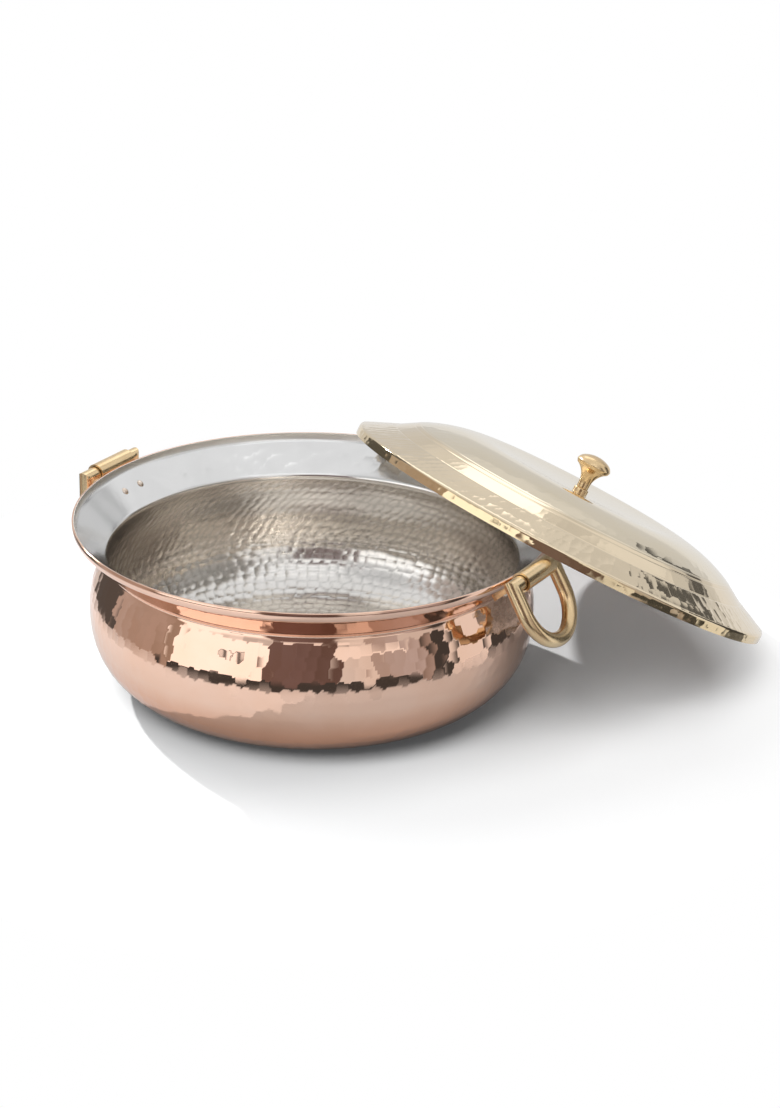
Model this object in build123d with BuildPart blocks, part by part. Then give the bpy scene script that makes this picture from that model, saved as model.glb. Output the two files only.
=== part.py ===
"""Wide hammered copper cooking pot with two drop rings and a loose brass lid.

Millimetres. The base stands on Z = 0 with its centre at the origin, and the two
handles stand on the X axis, so each ring swings about a line along Y. The lid leans
on the pot: its lower edge touches the ground and its flank passes over the rim.
"""

import math
import os

from build123d import *

# Vessel: a flat base, a full belly, a drawn-in neck, a conical flare and an upright lip
RIM_RADIUS = 150.0
RIM_HEIGHT = 110.0
LIP_HEIGHT = 4.5
NECK_RADIUS = 129.4
NECK_HEIGHT = 86.0
BELLY_RADIUS = 140.0
BELLY_HEIGHT = 52.5
LOWER_BELLY_CURVE = 90.0
HEEL_CURVE = 46.0
NECK_FILLET = 3.0
LIP_FILLET = 1.5
COPPER_SHEET = 1.2
TIN_COAT = 0.3

# Handles: a sleeve with a riveted tail, and a D ring whose straight bar turns in it
HINGE_RADIUS = 156.4
HINGE_DROP = 1.2
SLEEVE_RADIUS = 6.25
SLEEVE_BORE_RADIUS = 5.05
SLEEVE_LENGTH = 34.0
TAIL_WIDTH = 27.0
TAIL_THICKNESS = 2.2
TAIL_BELOW_RIVETS = 7.9
TAIL_CORNER = 4.0
RIVET_SET_BACK = 13.1
RIVET_SPACING = 16.6
RIVET_RADIUS = 1.6
RIVET_HEAD_RADIUS = 2.6
RIVET_HEAD_HEIGHT = 1.5
RING_BAR_RADIUS = 4.65
RING_HALF_WIDTH = 24.5
RING_LEG = 17.0
RING_SLIDE = 2.2
RIGHT_RING_SWING = 30.4
LEFT_RING_SWING = 0.0

# Lid: a dished crown, a steep step, a sloping brim and a short turned-down skirt
LID_RADIUS = 147.6
SKIRT_HEIGHT = 6.2
STEP_OUTER_RADIUS = 125.5
STEP_OUTER_HEIGHT = 16.2
STEP_INNER_RADIUS = 113.0
STEP_INNER_HEIGHT = 23.9
CROWN_RADIUS = 66.0
CROWN_HEIGHT = 34.8
SEAT_RADIUS = 7.0
SEAT_HEIGHT = 32.9
SKIRT_FILLET = 1.6
BRASS_SHEET = 1.0
LID_LEAN = 29.4
LID_HEADING = 58.3
LID_CENTRE_X = 100.0
LID_CENTRE_Y = 140.2

# Knob: a turned trumpet with a domed cap, on a collar, held by a screw from below
KNOB_HEIGHT = 24.6
KNOB_RADIUS = 11.9
KNOB_RIM_HEIGHT = 18.3
KNOB_SHOULDER_RADIUS = 8.5
KNOB_SHOULDER_HEIGHT = 22.6
KNOB_NECK_RADIUS = 4.0
KNOB_NECK_HEIGHT = 5.0
KNOB_FLARE_RADIUS = 10.9
KNOB_FLARE_HEIGHT = 16.3
COLLAR_RADIUS = 5.0
COLLAR_HEIGHT = 1.8
COLLAR_FILLET = 0.6
SCREW_RADIUS = 2.0
SCREW_IN_KNOB = 9.0
SCREW_HEAD_RADIUS = 4.2
SCREW_HEAD_HEIGHT = 2.4
SCREW_HEAD_FILLET = 0.9
SCREW_SLOT_WIDTH = 1.0
SCREW_SLOT_DEPTH = 1.1
WASHER_RADIUS = 6.5
WASHER_THICKNESS = 1.0

# The flare's angle above the horizontal, and the height of the hinge lines
FLARE_ANGLE = math.atan2(RIM_HEIGHT - LIP_HEIGHT - NECK_HEIGHT, RIM_RADIUS - NECK_RADIUS)
HINGE_HEIGHT = RIM_HEIGHT - HINGE_DROP
RIGHT = 1
LEFT = -1


def lid_plane() -> Plane:
    """Give the plane of the lid's edge: Z out through the knob, X down the slope."""
    lean = math.radians(LID_LEAN)
    heading = math.radians(LID_HEADING)
    centre = (LID_CENTRE_X, LID_CENTRE_Y, LID_RADIUS * math.sin(lean))
    across = (-math.sin(heading), math.cos(heading), 0)
    normal = (
        math.sin(lean) * math.cos(heading),
        math.sin(lean) * math.sin(heading),
        math.cos(lean),
    )
    downhill = Vector(*across).cross(Vector(*normal))
    return Plane(centre, x_dir=downhill, z_dir=normal)


def rivet_plane(side: int) -> Plane:
    """Give the plane on the flare's outer face midway between one handle's rivets.

    Local X runs along the rim, local Y up the flare and Z out of the copper.
    """
    set_back_x = RIVET_SET_BACK * math.cos(FLARE_ANGLE)
    set_back_z = RIVET_SET_BACK * math.sin(FLARE_ANGLE)
    origin = (side * (RIM_RADIUS - set_back_x), 0, RIM_HEIGHT - LIP_HEIGHT - set_back_z)
    outwards = (side * math.sin(FLARE_ANGLE), 0, -math.cos(FLARE_ANGLE))
    return Plane(origin, x_dir=(0, side, 0), z_dir=outwards)


def ring_plane(side: int, swing: float) -> Plane:
    """Give the plane of one ring: X along the hinge line, the bow towards minus Y.

    A swing of 0 hangs straight down, and a positive one stands away from the vessel.
    """
    angle = math.radians(swing)
    normal = (math.cos(angle), 0, side * math.sin(angle))
    return Plane((side * HINGE_RADIUS, -RING_SLIDE, HINGE_HEIGHT), x_dir=(0, 1, 0), z_dir=normal)


def section_plane(plane: Plane) -> Plane:
    """Give the plane of a section to be turned about plane's normal, which is its local Y."""
    return Plane(plane.origin, x_dir=plane.x_dir, z_dir=-plane.y_dir)


def turning_axis(plane: Plane) -> Axis:
    """Give the axis through plane's origin along its normal."""
    return Axis(plane.origin, plane.z_dir)


def corners_at(section: BuildSketch, height: float) -> ShapeList[Vertex]:
    """Pick the corners of a section that lie at one height above its local X axis."""
    return section.vertices().filter_by_position(Axis.Y, height - 0.01, height + 0.01)


def vessel_form(inset: float) -> Part:
    """Make the filled vessel, its wall moved inwards by inset.

    The heel arc touches the ground line and the lower belly arc, which fixes the
    radius of the flat base. The mouth is drawn high and cut back to the rim.
    """
    curve_gap = LOWER_BELLY_CURVE - HEEL_CURVE
    belly_centre = BELLY_RADIUS - LOWER_BELLY_CURVE
    base_radius = belly_centre + math.sqrt(curve_gap**2 - (BELLY_HEIGHT - HEEL_CURVE) ** 2)
    reach = LOWER_BELLY_CURVE / curve_gap
    heel_top = (
        belly_centre + (base_radius - belly_centre) * reach,
        BELLY_HEIGHT - (BELLY_HEIGHT - HEEL_CURVE) * reach,
    )
    belly = (BELLY_RADIUS, BELLY_HEIGHT)
    neck = (NECK_RADIUS, NECK_HEIGHT)
    lip_foot = (RIM_RADIUS, RIM_HEIGHT - LIP_HEIGHT)
    mouth_top = RIM_HEIGHT + LIP_HEIGHT * 2
    with BuildPart() as form:
        with BuildSketch(Plane.XZ) as section:
            with BuildLine():
                Polyline((0, mouth_top), (0, 0), (base_radius, 0))
                RadiusArc((base_radius, 0), heel_top, -HEEL_CURVE)
                RadiusArc(heel_top, belly, -LOWER_BELLY_CURVE)
                TangentArc(belly, neck, tangent=(0, 1))
                Polyline(neck, lip_foot, (RIM_RADIUS, mouth_top), (0, mouth_top))
            make_face()
            fillet(corners_at(section, neck[1]), NECK_FILLET)
            fillet(corners_at(section, lip_foot[1]), LIP_FILLET)
            mirror(about=Plane.YZ)
            offset(amount=-inset, mode=Mode.REPLACE)
            split(bisect_by=Plane.YZ, keep=Keep.TOP)
        revolve(axis=Axis.Z)
        split(bisect_by=Plane.XY.offset(RIM_HEIGHT), keep=Keep.BOTTOM)
    return form.part


def vessel_layer(outer_inset: float, inner_inset: float) -> Part:
    """Make one layer of the vessel's wall, with the four rivet holes."""
    with BuildPart() as layer:
        add(vessel_form(outer_inset))
        add(vessel_form(inner_inset), mode=Mode.SUBTRACT)
        for side in (LEFT, RIGHT):
            with BuildSketch(rivet_plane(side)):
                with GridLocations(RIVET_SPACING, 0, 2, 1):
                    Circle(RIVET_RADIUS)
            extrude(amount=RIVET_SPACING / 2, both=True, mode=Mode.SUBTRACT)
    return layer.part


def sleeve_bracket(side: int, vessel: Part) -> Part:
    """Make one sleeve with its tail, which lies on the flare of the filled vessel."""
    hinge = Plane((side * HINGE_RADIUS, 0, HINGE_HEIGHT), z_dir=(0, 1, 0))
    sunk = COPPER_SHEET
    tail_top = RIVET_SET_BACK + HINGE_RADIUS - RIM_RADIUS
    tail_height = tail_top + TAIL_BELOW_RIVETS
    with BuildPart() as bracket:
        with BuildSketch(rivet_plane(side).offset(-sunk)) as tail:
            with Locations((0, tail_top - tail_height / 2)):
                Rectangle(TAIL_WIDTH, tail_height)
            fillet(tail.vertices().group_by(Axis.Y)[0], TAIL_CORNER)
        extrude(amount=TAIL_THICKNESS + sunk)
        add(vessel, mode=Mode.SUBTRACT)
        with BuildSketch(hinge):
            Circle(SLEEVE_RADIUS)
        extrude(amount=SLEEVE_LENGTH / 2, both=True)
        with BuildSketch(hinge):
            Circle(SLEEVE_BORE_RADIUS)
        extrude(amount=SLEEVE_LENGTH / 2, both=True, mode=Mode.SUBTRACT)
        with BuildSketch(rivet_plane(side)):
            with GridLocations(RIVET_SPACING, 0, 2, 1):
                Circle(RIVET_RADIUS)
        extrude(amount=SLEEVE_RADIUS, both=True, mode=Mode.SUBTRACT)
    return bracket.part


def rivet_pair(side: int, layers: list[Part]) -> Part:
    """Make both rivets of one handle, the inner heads fitted to the wall's layers."""
    wall = COPPER_SHEET + TIN_COAT
    with BuildPart() as pair:
        for shift in (-RIVET_SPACING / 2, RIVET_SPACING / 2):
            middle = rivet_plane(side)
            place = Plane(middle.from_local_coords((shift, 0, 0)), middle.x_dir, middle.z_dir)
            with BuildSketch(section_plane(place)):
                with BuildLine():
                    Polyline(
                        (0, TAIL_THICKNESS + RIVET_HEAD_HEIGHT),
                        (0, -wall - RIVET_HEAD_HEIGHT),
                    )
                    TangentArc(
                        (0, -wall - RIVET_HEAD_HEIGHT), (RIVET_HEAD_RADIUS, -wall), tangent=(1, 0)
                    )
                    Polyline(
                        (RIVET_HEAD_RADIUS, -wall),
                        (RIVET_HEAD_RADIUS, -TIN_COAT),
                        (RIVET_RADIUS, -TIN_COAT),
                        (RIVET_RADIUS, TAIL_THICKNESS),
                        (RIVET_HEAD_RADIUS, TAIL_THICKNESS),
                    )
                    TangentArc(
                        (0, TAIL_THICKNESS + RIVET_HEAD_HEIGHT),
                        (RIVET_HEAD_RADIUS, TAIL_THICKNESS),
                        tangent=(1, 0),
                    )
                make_face()
            revolve(axis=turning_axis(place))
        for layer in layers:
            add(layer, mode=Mode.SUBTRACT)
    return pair.part


def drop_ring(side: int, swing: float) -> Part:
    """Make one D ring: a straight bar in the sleeve, two legs and a half-round bow."""
    plane = ring_plane(side, swing)
    with BuildPart() as ring:
        with BuildLine(plane) as bow:
            Line((-RING_HALF_WIDTH, 0), (-RING_HALF_WIDTH, -RING_LEG))
            ThreePointArc(
                (-RING_HALF_WIDTH, -RING_LEG),
                (0, -RING_LEG - RING_HALF_WIDTH),
                (RING_HALF_WIDTH, -RING_LEG),
            )
            Line((RING_HALF_WIDTH, -RING_LEG), (RING_HALF_WIDTH, 0))
        with BuildSketch(Plane(bow.line @ 0, z_dir=bow.line % 0)):
            Circle(RING_BAR_RADIUS)
        sweep(path=bow.line)
        with BuildSketch(Plane(plane.origin, z_dir=plane.x_dir)):
            Circle(RING_BAR_RADIUS)
        extrude(amount=RING_HALF_WIDTH, both=True)
        with Locations(Location(bow.line @ 0), Location(bow.line @ 1)):
            Sphere(RING_BAR_RADIUS)
    return ring.part


def lid_form(inset: float) -> Part:
    """Make the filled lid, its wall moved inwards by inset, cut at its edge plane."""
    plane = lid_plane()
    seat_edge = (SEAT_RADIUS, SEAT_HEIGHT)
    crown = (CROWN_RADIUS, CROWN_HEIGHT)
    step_inner = (STEP_INNER_RADIUS, STEP_INNER_HEIGHT)
    with BuildPart() as form:
        with BuildSketch(section_plane(plane)) as section:
            with BuildLine():
                Polyline((0, -SKIRT_HEIGHT), (0, SEAT_HEIGHT), seat_edge)
                TangentArc(seat_edge, crown, tangent=(1, 0))
                TangentArc(crown, step_inner, tangent=(1, 0))
                Polyline(
                    step_inner,
                    (STEP_OUTER_RADIUS, STEP_OUTER_HEIGHT),
                    (LID_RADIUS, SKIRT_HEIGHT),
                    (LID_RADIUS, -SKIRT_HEIGHT),
                    (0, -SKIRT_HEIGHT),
                )
            make_face()
            fillet(corners_at(section, SKIRT_HEIGHT), SKIRT_FILLET)
            mirror(about=Plane.YZ)
            offset(amount=-inset, mode=Mode.REPLACE)
            split(bisect_by=Plane.YZ, keep=Keep.TOP)
        revolve(axis=turning_axis(plane))
        split(bisect_by=plane, keep=Keep.TOP)
    return form.part


def lid_layer(outer_inset: float, inner_inset: float) -> Part:
    """Make one layer of the lid, with the hole for the knob's screw."""
    with BuildPart() as layer:
        add(lid_form(outer_inset))
        add(lid_form(inner_inset), mode=Mode.SUBTRACT)
        with BuildSketch(lid_plane()):
            Circle(SCREW_RADIUS)
        extrude(amount=CROWN_HEIGHT * 2, mode=Mode.SUBTRACT)
    return layer.part


def turned_knob() -> Part:
    """Make the knob, a trumpet from the collar to a domed cap, with its screw hole."""
    seat = lid_plane().offset(SEAT_HEIGHT)
    shoulder = (KNOB_SHOULDER_RADIUS, KNOB_SHOULDER_HEIGHT)
    rim = (KNOB_RADIUS, KNOB_RIM_HEIGHT)
    flare_end = (KNOB_FLARE_RADIUS, KNOB_FLARE_HEIGHT)
    neck_top = (KNOB_NECK_RADIUS, KNOB_NECK_HEIGHT)
    with BuildPart() as knob:
        with BuildSketch(section_plane(seat)):
            with BuildLine():
                dome = TangentArc((0, KNOB_HEIGHT), shoulder, tangent=(1, 0))
                cap = TangentArc(shoulder, rim, tangent=dome % 1)
                TangentArc(rim, flare_end, tangent=cap % 1)
                TangentArc(neck_top, flare_end, tangent=(0, 1))
                Polyline(neck_top, (KNOB_NECK_RADIUS, COLLAR_HEIGHT), (0, COLLAR_HEIGHT), dome @ 0)
            make_face()
        revolve(axis=turning_axis(seat))
        with BuildSketch(seat.offset(COLLAR_HEIGHT)):
            Circle(SCREW_RADIUS)
        extrude(amount=SCREW_IN_KNOB, mode=Mode.SUBTRACT)
    return knob.part


def collar_ring() -> Part:
    """Make the small collar between the lid and the knob."""
    with BuildPart() as collar:
        with BuildSketch(lid_plane().offset(SEAT_HEIGHT)):
            Circle(COLLAR_RADIUS)
            Circle(SCREW_RADIUS, mode=Mode.SUBTRACT)
        extrude(amount=COLLAR_HEIGHT)
        outer_edges = collar.edges().filter_by(GeomType.CIRCLE).group_by(SortBy.RADIUS)[-1]
        fillet(outer_edges.sort_by(turning_axis(lid_plane()))[-1], COLLAR_FILLET)
    return collar.part


def washer_plane() -> Plane:
    """Give the plane of the washer's lower face, inside the lid."""
    return lid_plane().offset(SEAT_HEIGHT - BRASS_SHEET - TIN_COAT - WASHER_THICKNESS)


def flat_washer() -> Part:
    """Make the washer that spreads the screw's pull over the lid."""
    with BuildPart() as washer:
        with BuildSketch(washer_plane()):
            Circle(WASHER_RADIUS)
            Circle(SCREW_RADIUS, mode=Mode.SUBTRACT)
        extrude(amount=WASHER_THICKNESS)
    return washer.part


def slotted_screw() -> Part:
    """Make the screw: a rounded slotted head inside the lid and a plain shank."""
    grip = WASHER_THICKNESS + TIN_COAT + BRASS_SHEET + COLLAR_HEIGHT
    with BuildPart() as screw:
        with BuildSketch(washer_plane()):
            Circle(SCREW_HEAD_RADIUS)
        extrude(amount=-SCREW_HEAD_HEIGHT)
        fillet(screw.edges().sort_by(turning_axis(washer_plane()))[0], SCREW_HEAD_FILLET)
        with BuildSketch(washer_plane().offset(-SCREW_HEAD_HEIGHT)):
            Rectangle(SCREW_HEAD_RADIUS * 2, SCREW_SLOT_WIDTH)
        extrude(amount=SCREW_SLOT_DEPTH, mode=Mode.SUBTRACT)
        with BuildSketch(washer_plane()):
            Circle(SCREW_RADIUS)
        extrude(amount=grip + SCREW_IN_KNOB)
    return screw.part


def save(part: Part, name: str) -> None:
    """Label one finished piece and write it."""
    part.label = name
    export_step(part, f"parts/{name}.step")


os.makedirs("parts", exist_ok=True)

filled_vessel = vessel_form(0)
pot_body = vessel_layer(0, COPPER_SHEET)
tin_lining = vessel_layer(COPPER_SHEET, COPPER_SHEET + TIN_COAT)
save(pot_body, "pot_body")
save(tin_lining, "tin_lining")

for side, swing, name in ((LEFT, LEFT_RING_SWING, "left"), (RIGHT, RIGHT_RING_SWING, "right")):
    save(sleeve_bracket(side, filled_vessel), f"{name}_bracket")
    save(rivet_pair(side, [pot_body, tin_lining]), f"{name}_rivets")
    save(drop_ring(side, swing), f"{name}_ring")

save(lid_layer(0, BRASS_SHEET), "lid_shell")
save(lid_layer(BRASS_SHEET, BRASS_SHEET + TIN_COAT), "lid_lining")
save(turned_knob(), "knob")
save(collar_ring(), "knob_collar")
save(flat_washer(), "screw_washer")
save(slotted_screw(), "knob_screw")
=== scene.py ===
"""The wide hammered copper cooking pot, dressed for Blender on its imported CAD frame.

Lengths in the sub-assembly classes are millimetres, as a coppersmith would give them,
and become metres when a mesh is made.
"""

import logging
import math
from dataclasses import dataclass
from enum import Enum
from functools import reduce
from typing import Any

import bmesh
import bpy
import numpy as np
from mathutils import Matrix, Vector


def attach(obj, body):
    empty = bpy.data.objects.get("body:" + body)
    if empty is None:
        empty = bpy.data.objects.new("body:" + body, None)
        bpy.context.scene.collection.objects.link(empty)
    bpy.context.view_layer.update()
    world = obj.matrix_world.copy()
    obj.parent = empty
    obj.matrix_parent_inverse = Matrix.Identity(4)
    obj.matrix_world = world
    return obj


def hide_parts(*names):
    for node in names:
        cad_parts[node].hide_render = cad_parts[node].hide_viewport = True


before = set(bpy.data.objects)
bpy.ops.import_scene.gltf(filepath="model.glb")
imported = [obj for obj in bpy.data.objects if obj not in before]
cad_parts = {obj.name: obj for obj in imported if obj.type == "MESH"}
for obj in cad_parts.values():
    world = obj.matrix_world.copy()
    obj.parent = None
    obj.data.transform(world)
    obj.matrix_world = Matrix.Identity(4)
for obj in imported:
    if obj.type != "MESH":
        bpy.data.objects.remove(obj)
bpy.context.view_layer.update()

LOG = logging.getLogger("copper_pot")
MM = 0.001
ARC_STEP = 0.1  # between the points of an arc
LINE_STEP = 0.05  # between the points of a joined outline
SLOPE_REACH = 0.05  # each way, when a slope is measured
RIDGE_RISE = 0.35  # of a ridge over a dish, in squared marks
Colour = tuple[float, float, float, float]
Pair = tuple[float, float]


class Body(Enum):
    """The bodies of the frame that a piece may ride on."""

    POT = "pot"
    LEFT_RING = "left_ring"
    RIGHT_RING = "right_ring"
    LID = "lid"


class Side(Enum):
    """Which handle of the pot is meant: the sign of its X."""

    LEFT = -1
    RIGHT = 1


class Way(Enum):
    """Which way a place on a metal is counted: out from its axis, or up along it."""

    OUT = "out"
    UP = "up"


# surfaces


def fade(value: np.ndarray, start: float, full: float) -> np.ndarray:
    """Give 0 up to the start and 1 past the full value, in a straight slope between them."""
    return np.clip((value - start) / (full - start), 0, 1)


def arc(centre: Pair, radius: float, start: float, end: float) -> np.ndarray:
    """Give points on a circular arc: centre plus radius times (cos, sin) of the angle.

    Args:
        centre: the arc's centre, radius first and height second.
        radius: the arc's radius.
        start: the first angle in degrees.
        end: the last angle in degrees.

    Returns:
        An array of points, one row each.
    """
    steps = max(4, int(abs(math.radians(end - start)) * radius / ARC_STEP))
    angle = np.radians(np.linspace(start, end, steps))
    return np.stack([centre[0] + radius * np.cos(angle), centre[1] + radius * np.sin(angle)], 1)


def tangent_arc(start: Pair, end: Pair, heading: float) -> np.ndarray:
    """Give an arc from start to end that leaves start in one direction.

    The centre lies square to the heading, at the distance where both ends are equally
    far from it: half the chord's square over the chord's reach square to the heading.

    Args:
        start: the first point.
        end: the last point.
        heading: the direction at the start, in degrees from the radius axis.

    Returns:
        An array of points, one row each.
    """
    along = np.array([math.cos(math.radians(heading)), math.sin(math.radians(heading))])
    square = np.array([-along[1], along[0]])
    chord = np.subtract(end, start)
    radius = chord @ chord / (2 * (chord @ square))
    centre = np.add(start, square * radius)
    first = math.degrees(math.atan2(start[1] - centre[1], start[0] - centre[0]))
    last = math.degrees(math.atan2(end[1] - centre[1], end[0] - centre[0]))
    turn = (last - first + 180) % 360 - 180
    return arc((centre[0], centre[1]), abs(radius), first, first + turn)


def arc_length(outline: np.ndarray) -> np.ndarray:
    """Give the distance along an outline at each of its points."""
    return np.concatenate([[0], np.cumsum(np.hypot(*np.diff(outline, axis=0).T))])


def sampled(outline: np.ndarray, at: np.ndarray) -> np.ndarray:
    """Give the points that stand at the wanted distances along an outline."""
    along = arc_length(outline)
    return np.stack([np.interp(at, along, outline[:, i]) for i in (0, 1)], 1)


def joined(*runs: Any) -> np.ndarray:
    """Join runs of points into one evenly sampled outline, with straight lines between them.

    Args:
        runs: lists of points, each radius and height.

    Returns:
        The outline, without the points that two runs share.
    """
    points = np.concatenate([np.atleast_2d(np.asarray(run, float)) for run in runs])
    step = np.hypot(*np.diff(points, axis=0).T)
    points = points[np.concatenate([[True], step > 1e-6])]
    whole = arc_length(points)[-1]
    return sampled(points, np.linspace(0, whole, int(whole / LINE_STEP) + 2))


def softened(outline: np.ndarray, radius: float) -> np.ndarray:
    """Round an outline's corners by a moving bell-shaped average along its length.

    Args:
        outline: evenly spaced points.
        radius: the bell's width, about the radius that a square corner gets.

    Returns:
        The rounded outline, with both ends kept.
    """
    step = np.hypot(*(outline[1] - outline[0]))
    half = int(3 * radius / step)
    bell = np.exp(-0.5 * (np.arange(-half, half + 1) * step / radius) ** 2)
    bell /= bell.sum()
    ahead = 2 * outline[0] - outline[half:0:-1]
    after = 2 * outline[-1] - outline[-2 : -half - 2 : -1]
    padded = np.concatenate([ahead, outline, after])
    return np.stack([np.convolve(padded[:, i], bell, "valid") for i in (0, 1)], 1)


def spaced(outline: np.ndarray, spacing: np.ndarray) -> np.ndarray:
    """Resample an outline so that its points stand a chosen distance apart.

    The count of points up to a place is the sum of one over the spacing, and the new
    points stand where that sum passes whole numbers.

    Args:
        outline: dense points.
        spacing: the wanted spacing at each of them.

    Returns:
        The resampled outline, both ends kept.
    """
    along = arc_length(outline)
    count = np.concatenate([[0], np.cumsum(np.diff(along) / spacing[1:])])
    marks = np.linspace(0, count[-1], int(math.ceil(count[-1])) + 1)
    return sampled(outline, np.interp(marks, count, along))


def normals(outline: np.ndarray) -> np.ndarray:
    """Give the unit normal to the right of an outline's travel at each point.

    Args:
        outline: the points.

    Returns:
        The normals, one row each.
    """
    slope = np.gradient(outline, axis=0)
    square = np.stack([slope[:, 1], -slope[:, 0]], 1)
    return square / np.maximum(np.hypot(*square.T), 1e-12)[:, None]


@dataclass
class Relief:
    """How far a surface stands off its plain form, and how steeply that changes.

    Attributes:
        height: millimetres along the outline's right-hand normal.
        along: the slope along the outline.
        around: the slope round the axis.
        joint: 1 where two hammer marks meet, 0 inside them.
    """

    height: np.ndarray
    along: np.ndarray
    around: np.ndarray
    joint: np.ndarray

    def times(self, share: np.ndarray) -> "Relief":
        """Scale the relief; a share below zero turns it inside out.

        Args:
            share: one factor for each row, or one for each point.

        Returns:
            The scaled relief.
        """
        factor = share.reshape(len(share), -1)
        return Relief(self.height * factor, self.along * factor, self.around * factor,
                      self.joint * np.abs(factor))

    def plus(self, other: "Relief") -> "Relief":
        """Lay another relief over this one."""
        return Relief(self.height + other.height, self.along + other.along,
                      self.around + other.around, self.joint + other.joint)


@dataclass
class Rows:
    """Rows of points in millimetres, and what is known about the surface there.

    Attributes:
        points: rows by points around by three.
        facing: unit vectors of the same shape, or zeros where the mesh decides.
        joint: rows by points around, 1 where two hammer marks meet.
    """

    points: np.ndarray
    facing: np.ndarray
    joint: np.ndarray

    @classmethod
    def plain(cls, points: np.ndarray) -> "Rows":
        """Make rows whose mesh decides what they face."""
        return cls(points, np.zeros_like(points), np.zeros(points.shape[:2]))

    def then(self, *others: "Rows") -> "Rows":
        """Add more rows after these."""
        return Rows(*(np.concatenate([getattr(rows, part) for rows in (self, *others)])
                      for part in ("points", "facing", "joint")))

    def carried(self, matrix: Matrix) -> "Rows":
        """Turn and shift the rows by a frame.

        Args:
            matrix: the frame, with its place in millimetres.

        Returns:
            The carried rows.
        """
        table = np.array(matrix)
        turn = table[:3, :3].T
        return Rows(self.points @ turn + table[:3, 3], self.facing @ turn, self.joint)


def turned(outline: np.ndarray, around: int, relief: Relief | None = None) -> Rows:
    """Turn an outline about the Z axis: (radius cos angle, radius sin angle, height).

    A relief lifts each point along the outline's normal. The point then faces along
    that normal less the slope along the outline times the outline's direction, and
    less the slope around times the direction round the axis.

    Args:
        outline: radius and height, one row each.
        around: how many points there are round the axis.
        relief: what stands off the plain form. Without it the mesh decides what the
            points face.

    Returns:
        The rows.
    """
    angle = np.linspace(0, 2 * np.pi, around, endpoint=False)
    cos, sin = np.cos(angle), np.sin(angle)
    if relief is None:
        flat = np.repeat(outline[:, None, :], around, 1)
        return Rows.plain(np.stack([flat[..., 0] * cos, flat[..., 0] * sin, flat[..., 1]], 2))
    square = normals(outline)
    out, up = square[:, :1], square[:, 1:]
    radius = outline[:, :1] + relief.height * out
    height = outline[:, 1:] + relief.height * up
    points = np.stack([radius * cos, radius * sin, height], 2)
    lean = out + relief.along * up
    facing = np.stack([
        lean * cos + relief.around * sin, lean * sin - relief.around * cos,
        up - relief.along * out], 2)
    return Rows(points, facing / np.linalg.norm(facing, axis=2)[..., None], relief.joint)


def placed(name: str, data: Any) -> bpy.types.Object:
    """Make an object and link it to the scene.

    Args:
        name: its name.
        data: its mesh, lamp or camera.

    Returns:
        The new object.
    """
    made = bpy.data.objects.new(name, data)
    bpy.context.collection.objects.link(made)
    return made


def skin(name: str, rows: Rows, looped: bool, crease: float = 40.0) -> bpy.types.Object:
    """Make a closed mesh from a grid of points that is closed around.

    Each face joins two neighbours of a row to the same two of the next row. Where the
    grid isn't looped, its first and last rows are single points, the poles. The signed
    volume, a sixth of the sum of the corners' triple products, tells whether the faces
    point outwards, and they are turned round where it is negative.

    Args:
        name: the new object's name.
        rows: the grid, in millimetres.
        looped: whether the last row joins the first.
        crease: the angle in degrees past which an edge is drawn sharp.

    Returns:
        The new object, linked to the scene.
    """
    count, around = rows.points.shape[:2]

    def flat(grid: np.ndarray) -> np.ndarray:
        """Lay a grid out as one list, each pole once.

        Args:
            grid: rows by points around, with any further axes.

        Returns:
            The list.
        """
        if looped:
            return grid.reshape(-1, *grid.shape[2:])
        middle = grid[1:-1].reshape(-1, *grid.shape[2:])
        return np.concatenate([grid[0, :1], middle, grid[-1, :1]])

    points = flat(rows.points)
    if looped:
        low = np.arange(count * around).reshape(count, around)
        high = np.roll(low, -1, axis=0)
        fans = np.empty((0, 3), int)
    else:
        ring = 1 + np.arange((count - 2) * around).reshape(count - 2, around)
        low, high = ring[:-1], ring[1:]
        top = np.full(around, len(points) - 1)
        fans = np.concatenate([
            np.stack([np.zeros(around, int), np.roll(ring[0], -1), ring[0]], 1),
            np.stack([ring[-1], np.roll(ring[-1], -1), top], 1),
        ])
    quads = np.stack([low, np.roll(low, -1, 1), np.roll(high, -1, 1), high], 2).reshape(-1, 4)
    corners = np.concatenate([quads[:, [0, 1, 2]], quads[:, [0, 2, 3]], fans])
    a, b, c = (points[corners[:, i]] for i in range(3))
    if np.einsum("ij,ij->i", a, np.cross(b, c)).sum() < 0:
        quads, fans = quads[:, ::-1], fans[:, ::-1]
    mesh = bpy.data.meshes.new(name)
    mesh.from_pydata((points * MM).tolist(), [], quads.tolist() + fans.tolist())
    mesh.update()
    mesh.shade_smooth()
    mesh.set_sharp_from_angle(angle=math.radians(crease))
    facing = flat(rows.facing)
    if np.any(facing):
        plain = np.empty(len(points) * 3, np.float32)
        mesh.vertex_normals.foreach_get("vector", plain)
        side = np.sign(np.einsum("ij,ij->i", plain.reshape(-1, 3), facing))
        mesh.normals_split_custom_set_from_vertices((facing * side[:, None]).tolist())
        joint = mesh.attributes.new("joint", "FLOAT", "POINT")
        joint.data.foreach_set("value", flat(rows.joint).astype(np.float32))
    return placed(name, mesh)


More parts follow.
